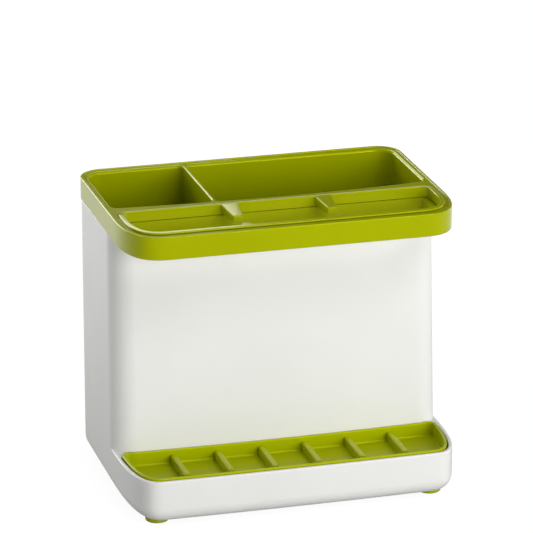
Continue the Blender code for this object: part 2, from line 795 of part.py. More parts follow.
def tray_corner():
    """Centres of the bin's and the tray's right corners, and the angle of the line that
    joins them."""
    half, front = bin_size(SHELF_Z)
    bin_x = half - BODY_FRONT_RADIUS
    bin_y = front + BODY_FRONT_RADIUS
    x = half - BODY_WALL - TRAY_GAP - TRAY_BACK_RADIUS
    distance = BODY_FRONT_RADIUS + TRAY_BACK_GAP + TRAY_BACK_RADIUS
    meet = math.acos((x - bin_x) / distance)
    return bin_x, bin_y, x, bin_y - distance * math.sin(meet), meet


def tray_back(inward):
    """Back edge of the tray from right to left, with round corners that meet the
    hollow left by the bin's round corners."""
    half, front = bin_size(SHELF_Z)
    bin_x, bin_y, x, y, meet = tray_corner()
    bin_radius = BODY_FRONT_RADIUS + TRAY_BACK_GAP
    right = []
    for angle in spaced(0, math.pi - meet, SMALL_CORNER_STEPS):
        radius = TRAY_BACK_RADIUS - inward
        right.append((x + radius * math.cos(angle), y + radius * math.sin(angle)))
    for angle in spaced(meet, math.pi / 2, SMALL_CORNER_STEPS)[1:]:
        radius = bin_radius + inward
        right.append((bin_x + radius * math.cos(angle), bin_y - radius * math.sin(angle)))
    middle = [(px, right[-1][1]) for px in spaced(right[-1][0], -right[-1][0], FRONT_STEPS)[1:-1]]
    left = [(-px, py) for px, py in reversed(right)]
    return bowed(right + middle + left, BODY_BOW, half)


def tray_outline(inward=0.0):
    back = tray_back(inward)
    widest = shelf_path(BODY_WALL + TRAY_GAP)
    skip = sum(1 for x, y in widest if x < 0 and y > tray_back(0.0)[0][1])
    front = shelf_path(BODY_WALL + TRAY_GAP + inward)
    return front[skip:len(front) - skip] + back


def build_tray(material):
    """Shallow drip tray with a rounded lip and level ribs."""
    shell = Shell()
    profile = [(e, TRAY_BOTTOM_Z + z) for e, z in fillet(TRAY_BOTTOM_ROUND, EDGE_STEPS + 1)]
    lip = [(e, TRAY_TOP_Z - drop) for e, drop in reversed(fillet(TRAY_LIP_ROUND, EDGE_STEPS))]
    profile += lip + [(TRAY_WALL - e, z) for e, z in reversed(lip)]
    for edge, height in reversed(fillet(TRAY_FLOOR_ROUND, EDGE_STEPS)):
        profile.append((TRAY_WALL + edge, TRAY_FLOOR_Z + height))
    rings = [shell.ring(tray_outline(inward), z) for inward, z in profile]
    shell.strips(rings)
    shell.flat(rings[0])
    shell.flat(rings[-1])
    tray = shell.finish("drip_tray", material)
    combine(tray, build_tray_ribs(), "UNION")
    return tray


def build_tray_ribs():
    """Ribs that run forward from the back wall of the tray and end short of its front."""
    shell = Shell()
    half, front = bin_size(SHELF_Z)
    for i in range(RIB_COUNT):
        x = (i - (RIB_COUNT - 1) / 2) * RIB_PITCH + RIB_SHIFT
        wall_y = front - TRAY_BACK_GAP - BODY_BOW * (1 - (x / half) ** 2)
        add_rib(shell, x, wall_y - TRAY_WALL - RIB_LENGTH, wall_y - TRAY_WALL / 2)
    return shell.finish("tray_ribs")


def add_rib(shell, x, front_y, back_y):
    """Level rib between two places along Y, with round edges on its top and its tip."""
    bottom = TRAY_FLOOR_Z - TRAY_FLOOR / 2
    top = TRAY_TOP_Z - RIB_TOP_DROP
    thick = RIB_THICKNESS / 2
    outline = [(thick, bottom)]
    for edge, drop in reversed(fillet(RIB_EDGE_ROUND, EDGE_STEPS)):
        outline.append((thick - edge, top - drop))
    rings = []
    for pull, ahead in fillet(RIB_EDGE_ROUND, EDGE_STEPS) + [(0.0, back_y - front_y)]:
        right = [(across * (thick - pull) / thick, z) for across, z in reversed(outline)]
        places = [(-across, z) for across, z in reversed(right)] + right
        rings.append([shell.mesh.verts.new((x + px, front_y + ahead, pz)) for px, pz in places])
    shell.strips(rings)
    shell.flat(rings[0])
    shell.flat(rings[-1])


def build_feet(material):
    names = ("foot_front_left", "foot_front_right", "foot_back_left", "foot_back_right")
    for name, place in zip(names, foot_places()):
        build_foot(name, place, material)


def clear_scene():
    for thing in list(bpy.data.objects):
        bpy.data.objects.remove(thing, do_unlink=True)


def main():
    clear_scene()
    build_body(white_plastic())
    build_organiser(gloss_green_plastic())
    build_insert(gloss_green_plastic())
    build_tray(satin_green_plastic())
    build_feet(green_rubber())


main()
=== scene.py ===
import math

import bmesh
import bpy
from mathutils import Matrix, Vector


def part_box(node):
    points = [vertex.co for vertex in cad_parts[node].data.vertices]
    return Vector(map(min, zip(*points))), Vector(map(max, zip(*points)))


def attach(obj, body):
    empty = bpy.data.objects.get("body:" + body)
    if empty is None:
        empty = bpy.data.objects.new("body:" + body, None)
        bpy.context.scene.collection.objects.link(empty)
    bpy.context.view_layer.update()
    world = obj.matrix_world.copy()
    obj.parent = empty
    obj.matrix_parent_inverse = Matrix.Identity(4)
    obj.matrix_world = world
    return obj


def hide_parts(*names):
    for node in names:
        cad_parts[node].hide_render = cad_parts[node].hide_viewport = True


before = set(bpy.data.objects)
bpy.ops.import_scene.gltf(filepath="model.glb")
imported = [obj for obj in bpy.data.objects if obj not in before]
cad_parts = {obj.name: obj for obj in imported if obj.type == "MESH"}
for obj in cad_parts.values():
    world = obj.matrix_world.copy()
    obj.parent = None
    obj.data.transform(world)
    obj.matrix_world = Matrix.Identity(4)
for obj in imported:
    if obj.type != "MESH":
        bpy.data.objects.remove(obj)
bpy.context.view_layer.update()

mm = 0.001
planSizes = {  # a value that ends in Steps is how many straight stretches a curve or a wall has
    "frontSteps": 24, "backSteps": 12, "roundSteps": 6,
    "rimSteps": 32,  # the rim and the slot share it, so that the groove between them closes
    "circle": 2,  # power of a round corner; a higher one is squarer
    "turnLimit": 0.7,  # keeps an outline that is moved sideways from spiking at a corner
    "sharpAngle": 38,  # degrees; an edge that turns more than this stays sharp
}


# plan curves: every outline runs left side, front, right side, back

def spaced(start, end, steps):
    return [start + (end - start) * i / steps for i in range(steps + 1)]


def cornerRun(x, y, side, end, reach, steps):
    # quarter corner about (x, y); reach is (along x, along y, power)
    reachX, reachY, power = reach
    points = []
    for i in range(steps + 1):
        angle = math.pi / 2 * i / steps
        across = reachX * (math.cos(angle) ** (2 / power) if i < steps else 0)
        along = reachY * math.sin(angle) ** (2 / power)
        points.append((x + side * across, y + end * along))
    return points


def mirrored(points):
    return [(-x, y) for x, y in reversed(points)]


def bowed(points, bow, half):
    return [(x, y - bow * (1 - (x / half) ** 2)) for x, y in points]


def frontRun(half, front, reach, steps, bow=0):
    left = cornerRun(-half + reach[0], front + reach[1], -1, -1, reach, steps)
    flat = spaced(-half + reach[0], half - reach[0], planSizes["frontSteps"])
    middle = [(x, front) for x in flat[1:-1]]
    return bowed(left + middle + mirrored(left), bow, half)


def backRun(half, back, radius, steps):
    reach = (radius, radius, planSizes["circle"])
    right = cornerRun(half - radius, back - radius, 1, 1, reach, steps)
    flat = spaced(half - radius, radius - half, planSizes["backSteps"])
    middle = [(x, back) for x in flat[1:-1]]
    return right + middle + mirrored(right)


def offsetLoop(points, distance):
    # closed outline moved inwards along its own normals, outwards if negative
    moved = []
    for i, here in enumerate(points):
        before = Vector(points[i - 1])
        here = Vector(here)
        after = Vector(points[(i + 1) % len(points)])
        first = (here - before).normalized()
        second = (after - here).normalized()
        normal = Vector((-first.y - second.y, first.x + second.x)).normalized()
        stretch = 1 / max(normal.dot(Vector((-first.y, first.x))), planSizes["turnLimit"])
        place = here + normal * distance * stretch
        moved.append((place.x, place.y))
    return moved


def quarterRound(radius, steps=planSizes["roundSteps"]):
    # (inset, height) pairs from the flat end up to the upright end
    pairs = []
    for i in range(steps + 1):
        angle = math.pi / 2 * i / steps
        pairs.append((radius * (1 - math.sin(angle)), radius * (1 - math.cos(angle))))
    return pairs


# mesh building

def ring(mesh, points, z):
    return [mesh.verts.new((x, y, z)) for x, y in points]


def bridge(mesh, lower, upper, closed=True):
    for i in range(len(lower) if closed else len(lower) - 1):
        j = (i + 1) % len(lower)
        corners = list(dict.fromkeys([lower[i], lower[j], upper[j], upper[i]]))
        if len(corners) > 2:
            mesh.faces.new(corners)


def bridgeAll(mesh, rings, closed=True):
    for lower, upper in zip(rings, rings[1:]):
        bridge(mesh, lower, upper, closed)


def fillFlat(mesh, *loops):
    edges = []
    for loop in loops:
        for i, here in enumerate(loop):
            pair = (here, loop[(i + 1) % len(loop)])
            edges.append(mesh.edges.get(pair) or mesh.edges.new(pair))
    bmesh.ops.triangle_fill(mesh, use_beauty=True, edges=edges)


def smoothFaces(data):
    data.shade_smooth()
    data.set_sharp_from_angle(angle=math.radians(planSizes["sharpAngle"]))


def meshObject(mesh, name):
    bmesh.ops.recalc_face_normals(mesh, faces=mesh.faces)
    data = bpy.data.meshes.new(name)
    mesh.to_mesh(data)
    mesh.free()
    smoothFaces(data)
    piece = bpy.data.objects.new(name, data)
    bpy.context.scene.collection.objects.link(piece)
    return piece


def uniteWith(piece, extra):
    # the extra solid is joined by a Boolean, applied at once
    step = piece.modifiers.new("unite", "BOOLEAN")
    step.operation = "UNION"
    step.solver = "EXACT"
    step.object = extra
    graph = bpy.context.evaluated_depsgraph_get()
    merged = bpy.data.meshes.new_from_object(piece.evaluated_get(graph))
    piece.modifiers.clear()
    piece.data = merged
    smoothFaces(merged)
    bpy.data.objects.remove(extra, do_unlink=True)


def dress(piece, material, body, node):
    piece.data.materials.clear()
    piece.data.materials.append(material)
    weigh = piece.modifiers.new("weighted normals", "WEIGHTED_NORMAL")
    weigh.keep_sharp = True
    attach(piece, body)
    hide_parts(node)
    print("made", piece.name, len(piece.data.polygons), "faces")


# materials

def nodeOf(material, kind, **values):
    node = material.node_tree.nodes.new(kind)
    for name, value in values.items():
        setattr(node, name, value)
    return node


def noiseOf(material, where, scale, detail):
    noise = nodeOf(material, "ShaderNodeTexNoise")
    noise.inputs["Scale"].default_value = scale
    noise.inputs["Detail"].default_value = detail
    material.node_tree.links.new(where.outputs["Object"], noise.inputs["Vector"])
    return noise.outputs["Fac"]


def rangeOf(material, value, given, wanted):
    # a value's given range, spread over the wanted one
    spread = nodeOf(material, "ShaderNodeMapRange")
    for name, limit in zip(("From Min", "From Max", "To Min", "To Max"), (*given, *wanted)):
        spread.inputs[name].default_value = limit
    material.node_tree.links.new(value, spread.inputs["Value"])
    return spread.outputs["Result"]


plasticNoise = {
    "driftDetail": 3, "smearDetail": 5, "grainDetail": 2,
    "noiseRange": (0.3, 0.7), "edgeRange": (0.52, 0.62),
}


def mouldedPlastic(name, look):
    # faint colour drift, paler worn edges, smeared gloss and a fine grain
    material = bpy.data.materials.new(name)
    material.use_nodes = True
    links = material.node_tree.links
    shader = material.node_tree.nodes["Principled BSDF"]
    where = nodeOf(material, "ShaderNodeTexCoord")

    drift = noiseOf(material, where, look["driftScale"], plasticNoise["driftDetail"])
    tint = nodeOf(material, "ShaderNodeValToRGB")
    deep, pale = tint.color_ramp.elements
    deep.position, pale.position = plasticNoise["noiseRange"]
    deep.color = (*look["deepColour"], 1)
    pale.color = (*look["colour"], 1)
    links.new(drift, tint.inputs["Fac"])

    shape = nodeOf(material, "ShaderNodeNewGeometry")
    edge = rangeOf(material, shape.outputs["Pointiness"], plasticNoise["edgeRange"], (0, 1))
    fade = nodeOf(material, "ShaderNodeMath", operation="MULTIPLY")
    fade.inputs[1].default_value = look["edgeFade"]
    worn = nodeOf(material, "ShaderNodeMix", data_type="RGBA")
    worn.inputs["B"].default_value = (*look["edgeColour"], 1)
    links.new(edge, fade.inputs[0])
    links.new(fade.outputs["Value"], worn.inputs["Factor"])
    links.new(tint.outputs["Color"], worn.inputs["A"])
    links.new(worn.outputs["Result"], shader.inputs["Base Color"])

    smear = noiseOf(material, where, look["smearScale"], plasticNoise["smearDetail"])
    least = look["roughness"] - look["roughnessSpread"]
    most = look["roughness"] + look["roughnessSpread"]
    gloss = rangeOf(material, smear, plasticNoise["noiseRange"], (least, most))
    links.new(gloss, shader.inputs["Roughness"])

    grain = noiseOf(material, where, look["grainScale"], plasticNoise["grainDetail"])
    bump = nodeOf(material, "ShaderNodeBump")
    bump.inputs["Strength"].default_value = look["grainStrength"]
    bump.inputs["Distance"].default_value = look["grainDepth"]
    links.new(grain, bump.inputs["Height"])
    links.new(bump.outputs["Normal"], shader.inputs["Normal"])
    shader.inputs["Metallic"].default_value = 0
    shader.inputs["IOR"].default_value = look["ior"]
    shader.inputs["Specular Tint"].default_value = (*look["sheen"], 1)
    return material


whiteLook = {
    "colour": (0.83, 0.83, 0.805), "deepColour": (0.80, 0.80, 0.775),
    "edgeColour": (0.88, 0.88, 0.86), "edgeFade": 0.3,
    "driftScale": 18, "smearScale": 55, "grainScale": 1500,
    "roughness": 0.36, "roughnessSpread": 0.04, "grainStrength": 0.25, "grainDepth": 0.03 * mm,
    "ior": 1.47, "sheen": (1, 1, 1),
}
glossGreenLook = {
    "colour": (0.362, 0.404, 0.0), "deepColour": (0.343, 0.385, 0.0),
    "edgeColour": (0.50, 0.54, 0.01), "edgeFade": 0.35,
    "driftScale": 22, "smearScale": 70, "grainScale": 900,
    "roughness": 0.13, "roughnessSpread": 0.02, "grainStrength": 0.12, "grainDepth": 0.03 * mm,
    "ior": 1.5, "sheen": (1, 1, 0.05),
}
satinGreenLook = dict(glossGreenLook)
satinGreenLook.update({
    "colour": (0.39, 0.44, 0.0), "deepColour": (0.37, 0.42, 0.0),
    "roughness": 0.33, "roughnessSpread": 0.05, "grainStrength": 0.3,
})
rubberLook = dict(satinGreenLook)
rubberLook.update({
    "colour": (0.36, 0.40, 0.006), "deepColour": (0.32, 0.36, 0.005),
    "roughness": 0.6, "roughnessSpread": 0.08, "grainScale": 2600, "grainStrength": 0.5,
})

whitePlastic = mouldedPlastic("satin white plastic", whiteLook)
glossGreen = mouldedPlastic("glossy lime plastic", glossGreenLook)
satinGreen = mouldedPlastic("satin lime plastic", satinGreenLook)
limeRubber = mouldedPlastic("lime rubber", rubberLook)
print("materials ready")


# white body: tall bin at the back, low shelf with a recess at the front

bodyLow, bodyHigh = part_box("white_body")
trayLow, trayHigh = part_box("drip_tray")
topLow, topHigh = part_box("organiser_top")
insertLow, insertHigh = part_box("slot_insert")

bodySizes = {
    "wall": 2.2 * mm, "floor": 2.7 * mm, "shelfHeight": 25.5 * mm,
    "backHalf": 94.7 * mm, "topHalf": 94.2 * mm, "backRadius": 14 * mm, "frontRadius": 13 * mm,
    "frontTop": -14.8 * mm, "frontShelf": -20.6 * mm, "bow": 2.2 * mm, "shelfBow": 1.1 * mm,
    "shelfReach": 19 * mm, "shelfPower": 3.2, "baseEdge": 9.2 * mm, "rimRound": 0.8 * mm,
    "restWidth": 6 * mm, "restReach": 5 * mm, "restSpan": 124 * mm, "restDrop": 0.3 * mm,
    "webDrop": 0.2 * mm, "web": 2 * mm, "restCount": 3, "restSteps": 8, "webSteps": 12,
    "cornerSteps": 20, "backSteps": 14, "shelfSteps": 40, "wallSteps": 12,
    "baseSteps": 12, "recessSteps": 10, "bottomSteps": 8,
}
shelfZ = bodyLow.z + bodySizes["shelfHeight"]


def binSize(z):
    # half width and front of the bin, which tapers from the shelf up
    share = max(0, (z - shelfZ) / (bodyHigh.z - shelfZ))
    half = bodyHigh.x + (bodySizes["topHalf"] - bodyHigh.x) * share
    front = bodySizes["frontShelf"] + (bodySizes["frontTop"] - bodySizes["frontShelf"]) * share
    return half, front


def binFront(z, inward, angles):
    half, front = binSize(z)
    full = bodySizes["frontRadius"]
    radius = full - inward
    left = []
    for angle in angles:
        left.append((full - half - radius * math.cos(angle), front + full - radius * math.sin(angle)))
    flat = spaced(full - half, half - full, planSizes["frontSteps"])
    middle = [(x, front + inward) for x in flat[1:-1]]
    return bowed(left + middle + mirrored(left), bodySizes["bow"], half)


def binBack(inward=0):
    radius = bodySizes["backRadius"] - inward
    return backRun(bodySizes["backHalf"] - inward, bodyHigh.y - inward, radius, bodySizes["backSteps"])


def binRing(mesh, inward, z, angles):
    return ring(mesh, binFront(z, inward, angles) + binBack(inward), z)


def shelfRun(inward=0):
    half, front = binSize(shelfZ)
    ahead = bodyLow.y + bodySizes["shelfBow"] + inward
    reachY = front + bodySizes["frontRadius"] - ahead
    reach = (bodySizes["shelfReach"] - inward, reachY, bodySizes["shelfPower"])
    return frontRun(half - inward, ahead, reach, bodySizes["shelfSteps"], bodySizes["shelfBow"])


def meetAngle(inward):
    # where a wall this far inside the shelf's side meets the bin's round corner
    return math.acos(1 - inward / bodySizes["frontRadius"])


def recessLoop(inward):
    angles = spaced(meetAngle(inward), math.pi / 2, bodySizes["cornerSteps"])
    behind = binFront(shelfZ, 0, angles)
    return [behind[0]] + shelfRun(inward)[1:-1] + [behind[-1]] + behind[-2:0:-1]


def makeBody():
    mesh = bmesh.new()
    wall = bodySizes["wall"]
    baseEdge = bodySizes["baseEdge"]
    rimRound = bodySizes["rimRound"]

    # climb goes over the shelf's rim, and foot is the line where the bin's front meets it
    climb = [(edge, shelfZ - drop) for edge, drop in reversed(quarterRound(rimRound))]
    climb += [(wall - edge, z) for edge, z in reversed(climb)]
    last = len(climb) - 1
    meets = [meetAngle(edge) for edge, z in climb]
    angles = meets + spaced(meets[-1], math.pi / 2, bodySizes["cornerSteps"])[1:]
    foot = ring(mesh, binFront(shelfZ, 0, angles), climb[0][1])
    for i, (edge, z) in enumerate(climb):
        foot[i].co.z = z
        foot[-1 - i].co.z = z
    back = ring(mesh, binBack(), climb[0][1])

    # outside of the shelf and the round base edge
    rings = [ring(mesh, shelfRun(baseEdge + wall) + binBack(baseEdge + wall), bodyLow.z)]
    for edge, height in quarterRound(baseEdge, bodySizes["baseSteps"]):
        rings.append(ring(mesh, shelfRun(edge) + binBack(edge), bodyLow.z + height))
    rings.append([foot[0]] + ring(mesh, shelfRun()[1:-1], climb[0][1]) + [foot[-1]] + back)
    bridgeAll(mesh, rings)
    fillFlat(mesh, rings[0])

    # rounded rim of the shelf, then the recess
    rims = [rings[-1][:len(rings[-1]) - len(back)]]
    for i, (edge, z) in enumerate(climb[1:], 1):
        rims.append([foot[i]] + ring(mesh, shelfRun(edge)[1:-1], z) + [foot[-1 - i]])
    bridgeAll(mesh, rims, closed=False)
    floorZ = bodyLow.z + bodySizes["floor"]
    loops = [rims[-1] + foot[-2 - last:last:-1]]
    for edge, height in reversed(quarterRound(baseEdge - wall, bodySizes["recessSteps"])):
        loops.append(ring(mesh, recessLoop(wall + edge), floorZ + height))
    bridgeAll(mesh, loops)
    fillFlat(mesh, loops[-1])

    # the bin, outside and inside
    rings = [foot + back]
    for z in spaced(shelfZ, bodyHigh.z - rimRound, bodySizes["wallSteps"])[1:]:
        rings.append(binRing(mesh, 0, z, angles))
    for edge, drop in list(reversed(quarterRound(rimRound)))[1:]:
        rings.append(binRing(mesh, edge, bodyHigh.z - drop, angles))
    for edge, drop in quarterRound(rimRound):
        rings.append(binRing(mesh, wall - edge, bodyHigh.z - drop, angles))
    rings.append(binRing(mesh, wall, shelfZ, angles))
    for edge, height in reversed(quarterRound(baseEdge - wall, bodySizes["bottomSteps"])):
        rings.append(binRing(mesh, wall + edge, floorZ + height, angles))
    bridgeAll(mesh, rings)
    fillFlat(mesh, rings[-1])
    piece = meshObject(mesh, "bodyShell")
    uniteWith(piece, makeRests())
    uniteWith(piece, makeWebs())
    dress(piece, whitePlastic, "bin", "white_body")


def makeRests():
    # upright posts along the front and the back of the recess, which carry the tray
    mesh = bmesh.new()
    half, front = binSize(shelfZ)
    wall = bodySizes["wall"]
    baseEdge = bodySizes["baseEdge"]
    depth = wall + bodySizes["restReach"]
    topZ = trayLow.z - bodySizes["restDrop"]
    bend = baseEdge - wall / 2
    lowZ = bodyLow.z + bodySizes["floor"] / 2
    for x in spaced(-bodySizes["restSpan"] / 2, bodySizes["restSpan"] / 2, bodySizes["restCount"] - 1):
        share = 1 - (x / half) ** 2
        ahead = bodyLow.y + bodySizes["shelfBow"] * (1 - share)
        outline = [(ahead + depth, topZ), (ahead + wall / 2, topZ)]
        for angle in spaced(0, math.acos((baseEdge - depth) / bend), bodySizes["restSteps"]):
            y = ahead + baseEdge - bend * math.cos(angle)
            outline.append((y, bodyLow.z + baseEdge - bend * math.sin(angle)))
        behind = front - bodySizes["bow"] * share + wall / 2
        near = behind - wall / 2 - bodySizes["restReach"]
        for corners in (outline, [(near, lowZ), (behind, lowZ), (behind, topZ), (near, topZ)]):
            sides = []
            for sideX in (x - bodySizes["restWidth"] / 2, x + bodySizes["restWidth"] / 2):
                sides.append([mesh.verts.new((sideX, y, z)) for y, z in corners])
            bridge(mesh, *sides)
            fillFlat(mesh, sides[0])
            fillFlat(mesh, sides[1])
    return meshObject(mesh, "rests")


def makeWebs():
    # flat webs at the rim's height, round the back corners of the tray
    mesh = bmesh.new()
    half = binSize(shelfZ)[0]
    binX, binY, x, y, meet = trayCorner()
    inside = bodySizes["frontRadius"] - bodySizes["wall"] / 2
    outside = traySizes["backRadius"] + traySizes["backGap"]
    right = [(x + outside, y), (half - bodySizes["wall"] / 2, y)]
    for angle in spaced(0, meet, bodySizes["webSteps"]):
        right.append((binX + inside * math.cos(angle), binY - inside * math.sin(angle)))
    for angle in spaced(math.pi - meet, 0, traySizes["cornerSteps"])[:-1]:
        right.append((x + outside * math.cos(angle), y + outside * math.sin(angle)))
    right = bowed(right, bodySizes["bow"], half)
    top = shelfZ - bodySizes["webDrop"]
    for plan in (right, mirrored(right)):
        lower = ring(mesh, plan, top - bodySizes["web"])
        upper = ring(mesh, plan, top)
        bridge(mesh, lower, upper)
        fillFlat(mesh, lower)
        fillFlat(mesh, upper)
    return meshObject(mesh, "webs")


# organiser: band with a raised border, deck, two cups and the well of the brush slot

organiserSizes = {
    "reachX": 24 * mm, "reachY": 41 * mm, "power": 2.8, "backRadius": 14 * mm,
    "edgeRound": 0.6 * mm, "underRound": 0.5 * mm, "step": 0.6 * mm, "stepRound": 0.3 * mm,
    "borderSide": 1.6 * mm, "borderFront": 3.5 * mm, "borderPower": 3.0,
    "deck": 2.2 * mm, "skirt": 2.2 * mm, "seatGap": 0.3 * mm,
    "cupHalf": 90.4 * mm, "cupFront": -1.6 * mm, "cupBack": 63.7 * mm, "cupBow": 4.2 * mm,
    "cupDepth": 80 * mm, "cupWall": 1.3 * mm, "cupFloor": 1.6 * mm, "cupRound": 1.6 * mm,
    "frontRadius": 4 * mm, "backCupRadius": 9.5 * mm, "dividerRadius": 3 * mm,
    "bottomRound": 2.2 * mm, "dividerX": -31.6 * mm, "divider": 2 * mm, "dividerRound": 0.8 * mm,
    "drain": 2.5 * mm, "drainPitch": 20 * mm, "drainMargin": 15 * mm, "drainFlare": 0.3 * mm,
    "endLedge": 3.6 * mm, "sideLedge": 0.4 * mm, "wellWall": 1.3 * mm,
    "backSteps": 16, "underSteps": 4, "edgeSteps": 8, "borderSteps": 3,
    "cupSteps": 12, "cupFrontSteps": 16, "mouthSteps": 8, "drainSides": 24,
}
insertSizes = {
    "half": 88 * mm, "reachX": 18 * mm, "reachY": 26 * mm, "power": 2.8, "backRadius": 3.5 * mm,
    "frontBorder": 8.2 * mm, "depth": 37.8 * mm, "wall": 1.4 * mm, "lip": 2.6 * mm,
    "lipRound": 0.5 * mm, "crown": 0.2 * mm, "mouthRound": 0.4 * mm, "fit": 0.3 * mm,
    "tabSpacing": 54 * mm, "tabLength": 18.2 * mm, "tabRoot": 9.8 * mm, "tabTip": 5.4 * mm,
    "tabRootHeight": 5.2 * mm, "tabTipHeight": 4.2 * mm, "tabRootDrop": 0.1 * mm, "tabTipDrop": 1.3 * mm,
    "bumpWidth": 6.6 * mm, "bumpReach": 3.3 * mm, "bumpHeight": 4.4 * mm, "bumpDrop": 0.2 * mm,
    "bumpRound": 0.5 * mm, "bumpRise": 0.2 * mm, "bumpPower": 3, "tabRound": 0.6 * mm,
    "tabCorner": 0.05 * mm, "tabTipShare": 0.98, "crownShares": (0.25, 0.5, 0.75), "crownPower": 1.5,
    "backSteps": 8, "mouthSteps": 8, "lipSteps": 5, "tabSteps": 5, "barSteps": 4,
    "bumpSteps": 12, "bumpEdgeSteps": 5,
}
deckZ = topHigh.z - organiserSizes["step"]
bandZ = bodyHigh.z + organiserSizes["seatGap"]
slotFront = topLow.y + insertSizes["frontBorder"]
slotBack = slotFront + insertSizes["depth"]


def rimOutline():
    size = organiserSizes
    reach = (size["reachX"], size["reachY"], size["power"])
    front = frontRun(topHigh.x, topLow.y, reach, planSizes["rimSteps"])
    return front + backRun(topHigh.x, topHigh.y, size["backRadius"], size["backSteps"])


def borderOutline(inward=0):
    # inner edge of the raised border: wider at the front, squarer in the corners
    size = organiserSizes
    side = size["borderSide"] + inward
    ahead = size["borderFront"] + inward
    reach = (size["reachX"] - side, size["reachY"] - ahead, size["borderPower"])
    front = frontRun(topHigh.x - side, topLow.y + ahead, reach, planSizes["rimSteps"])
    radius = size["backRadius"] - side
    return front + backRun(topHigh.x - side, topHigh.y - side, radius, size["backSteps"])


def slotOutline(ends=0, sides=0):
    # the slot, drawn in at its ends and at its long sides
    size = insertSizes
    reach = (size["reachX"], size["reachY"] - sides, size["power"])
    front = frontRun(size["half"] - ends, slotFront + sides, reach, planSizes["rimSteps"])
    return front + backRun(size["half"] - ends, slotBack - sides, size["backRadius"], size["backSteps"])


def cupOutline(left, right):
    # round corners, tighter where a cup ends at the divider
    size = organiserSizes
    half = size["cupHalf"]
    runs = []
    for end, y, outer in ((-1, size["cupFront"], "frontRadius"), (1, size["cupBack"], "backCupRadius")):
        for x, facing in ((left, 1), (right, -1)):
            radius = size[outer] if abs(abs(x) - half) < mm else size["dividerRadius"]
            reach = (radius, radius, planSizes["circle"])
            centre = (x + facing * radius, y - end * radius)
            runs.append(cornerRun(*centre, -facing, end, reach, size["cupSteps"]))
    frontLeft, frontRight, backLeft, backRight = runs
    flat = spaced(frontLeft[-1][0], frontRight[-1][0], size["cupFrontSteps"])
    middle = [(x, size["cupFront"]) for x in flat[1:-1]]
    front = bowed(frontLeft + middle + frontRight[::-1], size["cupBow"], half)
    return front + backRight + backLeft[::-1]


def mouthLoop(left, right, edge):
    # rounded mouth of a cup, which spreads less on the side of the divider
    size = organiserSizes
    inner = 1 if abs(right) < abs(left) else -1
    plan = cupOutline(left, right)
    loop = []
    for here, out in zip(plan, offsetLoop(plan, -edge)):
        step = out[0] - here[0]
        if step * inner > 0:
            step *= size["dividerRound"] / size["cupRound"]
        loop.append((here[0] + step, out[1]))
    return loop


def cupSides():
    size = organiserSizes
    return [(-size["cupHalf"], size["dividerX"] - size["divider"]), (size["dividerX"], size["cupHalf"])]


def drainPlaces(left, right):
    size = organiserSizes
    places = []
    columns = int((right - left - 2 * size["drainMargin"]) / size["drainPitch"])
    rows = int((size["cupBack"] - size["cupFront"] - 2 * size["drainMargin"]) / size["drainPitch"])
    for i in range(columns + 1):
        for j in range(rows + 1):
            x = (left + right) / 2 + (i - columns / 2) * size["drainPitch"]
            y = (size["cupFront"] + size["cupBack"]) / 2 + (j - rows / 2) * size["drainPitch"]
            places.append((x, y))
    return places


def disc(x, y, radius, sides):
    points = []
    for i in range(sides):
        angle = 2 * math.pi * i / sides
        points.append((x + radius * math.cos(angle), y + radius * math.sin(angle)))
    return points


